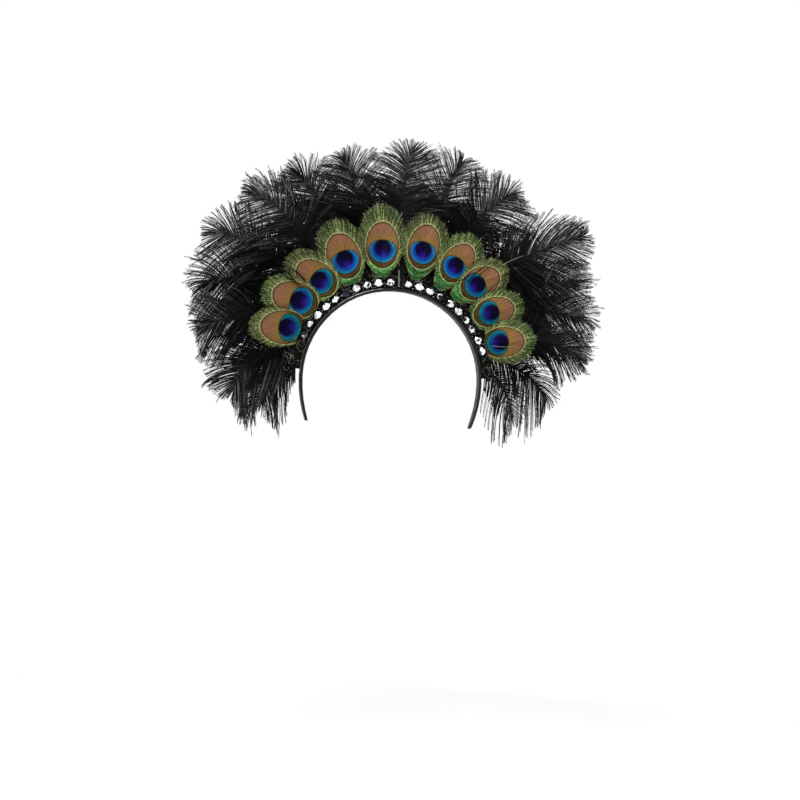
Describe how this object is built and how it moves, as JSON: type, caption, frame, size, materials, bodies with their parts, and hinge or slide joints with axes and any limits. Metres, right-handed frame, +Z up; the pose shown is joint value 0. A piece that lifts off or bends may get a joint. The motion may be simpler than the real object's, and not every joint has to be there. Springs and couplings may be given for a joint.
{
  "type": "feather headband",
  "caption": "Curved headband carrying a fan of black ostrich plumes, an overlapping arc of trimmed peacock eyes and a row of clear cut stones; worn over the crown.",
  "frame": {"origin": "middle of the band's inner face at the crown, where the band sits on the head", "axes": "+Z up, the front of the fan faces -Y, +X is the viewer's right when looking at the front"},
  "size_m": [0.3877, 0.0716, 0.2747],
  "materials": {
    "band_satin": "black satin cloth",
    "backing_felt": "black felt",
    "ostrich_plume": "dyed black ostrich feather",
    "peacock_eye": "iridescent green, copper and blue feather",
    "crystal": "clear foiled cut glass"
  },
  "bodies": {
    "root": {"band": "band_satin", "fan_base": "backing_felt", "stone_01": "crystal", "stone_02": "crystal", "stone_03": "crystal", "stone_04": "crystal", "stone_05": "crystal", "stone_06": "crystal", "stone_07": "crystal", "stone_08": "crystal", "stone_09": "crystal", "stone_10": "crystal", "stone_11": "crystal", "stone_12": "crystal", "stone_13": "crystal", "stone_14": "crystal", "stone_15": "crystal", "stone_16": "crystal", "stone_17": "crystal", "stone_18": "crystal", "stone_19": "crystal", "stone_20": "crystal", "peacock_eye_01": "peacock_eye", "peacock_eye_02": "peacock_eye", "peacock_eye_03": "peacock_eye", "peacock_eye_04": "peacock_eye", "peacock_eye_05": "peacock_eye", "peacock_eye_06": "peacock_eye", "peacock_eye_07": "peacock_eye", "peacock_eye_08": "peacock_eye", "peacock_eye_09": "peacock_eye", "peacock_eye_10": "peacock_eye", "plume_01": "ostrich_plume", "plume_02": "ostrich_plume", "plume_03": "ostrich_plume", "plume_04": "ostrich_plume", "plume_05": "ostrich_plume", "plume_06": "ostrich_plume", "plume_07": "ostrich_plume", "plume_08": "ostrich_plume", "plume_09": "ostrich_plume", "plume_10": "ostrich_plume", "plume_11": "ostrich_plume", "plume_12": "ostrich_plume", "plume_13": "ostrich_plume", "plume_14": "ostrich_plume", "plume_15": "ostrich_plume", "plume_16": "ostrich_plume", "plume_17": "ostrich_plume"}
  },
  "joints": []
}
